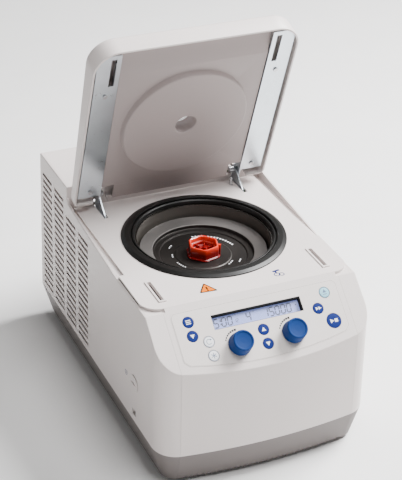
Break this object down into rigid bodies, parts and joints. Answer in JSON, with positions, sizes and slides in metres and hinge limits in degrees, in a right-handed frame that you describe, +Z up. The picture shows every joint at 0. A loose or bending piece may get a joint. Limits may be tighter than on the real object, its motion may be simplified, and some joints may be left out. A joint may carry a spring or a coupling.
{
  "type": "laboratory centrifuge",
  "caption": "Refrigerated bench microcentrifuge with an open hinged lid, a covered fixed-angle rotor in a round chamber and a sloping control panel.",
  "frame": {"origin": "middle of the footprint on the bench, under the feet", "axes": "+X to the user's right, -Y towards the user, +Z up; lid modelled open"},
  "size_m": [0.2907, 0.4605, 0.5009],
  "materials": {
    "casing": "warm light grey powder-coated and moulded casing",
    "base": "mid grey moulded base",
    "rubber": "black moulded rubber",
    "zinc": "zinc-plated sheet steel",
    "steel": "turned and drawn steel",
    "liner": "mauve-grey moulded lid liner",
    "glass": "clear viewing window",
    "screen_glass": "clear screen cover",
    "screen": "lavender back-lit segment display in a black surround",
    "foil": "printed keypad foil",
    "navy_key": "navy key",
    "white_key": "white key",
    "pale_key": "pale cyan key",
    "blue_knob": "blue soft-touch dial",
    "red_knob": "translucent red moulding",
    "dark_metal": "dark coated aluminium",
    "aluminium": "cast or stamped aluminium",
    "copper": "copper pipe",
    "black_plastic": "black moulded plastic",
    "board": "green circuit board",
    "foam": "black closed-cell insulation",
    "black_paint": "black painted steel",
    "magnet": "magnet rotor"
  },
  "bodies": {
    "housing": {"base_tray": "base", "front_base_trim": "base", "rubber_feet": "rubber", "housing_shell": "casing", "top_cover": "casing", "front_fascia": "casing", "keypad_foil": "foil", "display_window": "screen_glass", "display_module": "screen", "control_board": "board", "panel_switches": "black_plastic", "latch_slot_frames": "casing", "rotor_chamber": "steel", "chamber_insulation": "foam", "evaporator_coil": "copper", "chamber_seal": "rubber", "motor_housing": "aluminium", "motor_bearings": "steel", "motor_mount_plate": "zinc", "motor_dampers": "rubber", "compressor": "black_paint", "condenser": "aluminium", "fan_frame": "black_plastic", "main_board": "board", "power_supply": "zinc", "hinge_brackets": "zinc", "hinge_pins": "steel", "lid_springs": "steel", "latch_motor": "black_plastic", "mains_inlet": "black_plastic", "rear_screws": "steel", "lid_sense_pin": "steel"},
    "lid": {"lid_shell": "casing", "lid_inner_panel": "liner", "viewing_window": "glass", "window_ring": "casing", "lid_brackets": "zinc", "lid_screws": "steel"},
    "spinner": {"motor_shaft": "steel", "motor_magnet": "magnet", "rotor": "dark_metal", "rotor_nut": "steel"},
    "rotor_cover": {"rotor_lid": "dark_metal", "rotor_lid_seal": "rubber"},
    "rotor_lid_knob": {"rotor_lid_knob": "red_knob"},
    "time_knob": {"time_knob": "blue_knob"},
    "speed_knob": {"speed_knob": "blue_knob"},
    "release_plug": {"release_plug": "casing"},
    "mains_rocker": {"mains_rocker": "black_plastic"},
    "latch_hooks": {"latch_hooks": "steel"},
    "fan_impeller": {"fan_impeller": "black_plastic"},
    "menu_key": {"menu_key": "navy_key"},
    "down_key": {"down_key": "navy_key"},
    "spin_key": {"spin_key": "white_key"},
    "cool_key": {"cool_key": "white_key"},
    "warmer_key": {"warmer_key": "navy_key"},
    "colder_key": {"colder_key": "navy_key"},
    "short_key": {"short_key": "navy_key"},
    "open_key": {"open_key": "pale_key"},
    "start_stop_key": {"start_stop_key": "navy_key"}
  },
  "joints": [
    {"name": "lid_hinge", "type": "hinge", "parent": "housing", "child": "lid", "pos_m": [0, 0.1162, 0.2423], "axis": [-1, 0, 0], "range_deg": [-70.5, 0], "stiffness_Nm_per_rad": 0.9, "springref_deg": 57.3},
    {"name": "rotor_spin", "type": "hinge", "parent": "housing", "child": "spinner", "pos_m": [0, -0.0103, 0.15], "axis": [0, 0, 1], "continuous": true},
    {"name": "rotor_lid_lift", "type": "slide", "parent": "spinner", "child": "rotor_cover", "axis": [0, 0, 1], "range_m": [0, 0.05]},
    {"name": "rotor_lid_lock", "type": "hinge", "parent": "rotor_cover", "child": "rotor_lid_knob", "pos_m": [0, -0.0103, 0.21], "axis": [0, 0, 1], "range_deg": [0, 90]},
    {"name": "time_dial", "type": "hinge", "parent": "housing", "child": "time_knob", "pos_m": [-0.0364, -0.20292, 0.18298], "axis": [0, -0.6534, 0.757], "continuous": true},
    {"name": "speed_dial", "type": "hinge", "parent": "housing", "child": "speed_knob", "pos_m": [0.0364, -0.20292, 0.18298], "axis": [0, -0.6534, 0.757], "continuous": true},
    {"name": "latch_turn", "type": "hinge", "parent": "housing", "child": "latch_hooks", "pos_m": [0, -0.1335, 0.184], "axis": [-1, 0, 0], "range_deg": [-62, 0]},
    {"name": "release_plug_turn", "type": "hinge", "parent": "housing", "child": "release_plug", "pos_m": [-0.1445, -0.1297, 0.105], "axis": [-1, 0, 0], "range_deg": [0, 90]},
    {"name": "mains_switch", "type": "hinge", "parent": "housing", "child": "mains_rocker", "pos_m": [0.092, 0.2214, 0.092], "axis": [1, 0, 0], "range_deg": [-16, 0]},
    {"name": "fan_spin", "type": "hinge", "parent": "housing", "child": "fan_impeller", "pos_m": [-0.098, 0.15, 0.125], "axis": [1, 0, 0], "continuous": true},
    {"name": "menu_key_press", "type": "slide", "parent": "housing", "child": "menu_key", "axis": [0, 0.6534, -0.757], "range_m": [0, 0.0006], "stiffness_N_per_m": 1500},
    {"name": "down_key_press", "type": "slide", "parent": "housing", "child": "down_key", "axis": [0, 0.6534, -0.757], "range_m": [0, 0.0006], "stiffness_N_per_m": 1500},
    {"name": "spin_key_press", "type": "slide", "parent": "housing", "child": "spin_key", "axis": [0, 0.6534, -0.757], "range_m": [0, 0.0006], "stiffness_N_per_m": 1500},
    {"name": "cool_key_press", "type": "slide", "parent": "housing", "child": "cool_key", "axis": [0, 0.6534, -0.757], "range_m": [0, 0.0006], "stiffness_N_per_m": 1500},
    {"name": "warmer_key_press", "type": "slide", "parent": "housing", "child": "warmer_key", "axis": [0, 0.6534, -0.757], "range_m": [0, 0.0006], "stiffness_N_per_m": 1500},
    {"name": "colder_key_press", "type": "slide", "parent": "housing", "child": "colder_key", "axis": [0, 0.6534, -0.757], "range_m": [0, 0.0006], "stiffness_N_per_m": 1500},
    {"name": "short_key_press", "type": "slide", "parent": "housing", "child": "short_key", "axis": [0, 0.6534, -0.757], "range_m": [0, 0.0006], "stiffness_N_per_m": 1500},
    {"name": "open_key_press", "type": "slide", "parent": "housing", "child": "open_key", "axis": [0, 0.6534, -0.757], "range_m": [0, 0.0006], "stiffness_N_per_m": 1500},
    {"name": "start_stop_key_press", "type": "slide", "parent": "housing", "child": "start_stop_key", "axis": [0, 0.6534, -0.757], "range_m": [0, 0.0006], "stiffness_N_per_m": 1500}
  ]
}
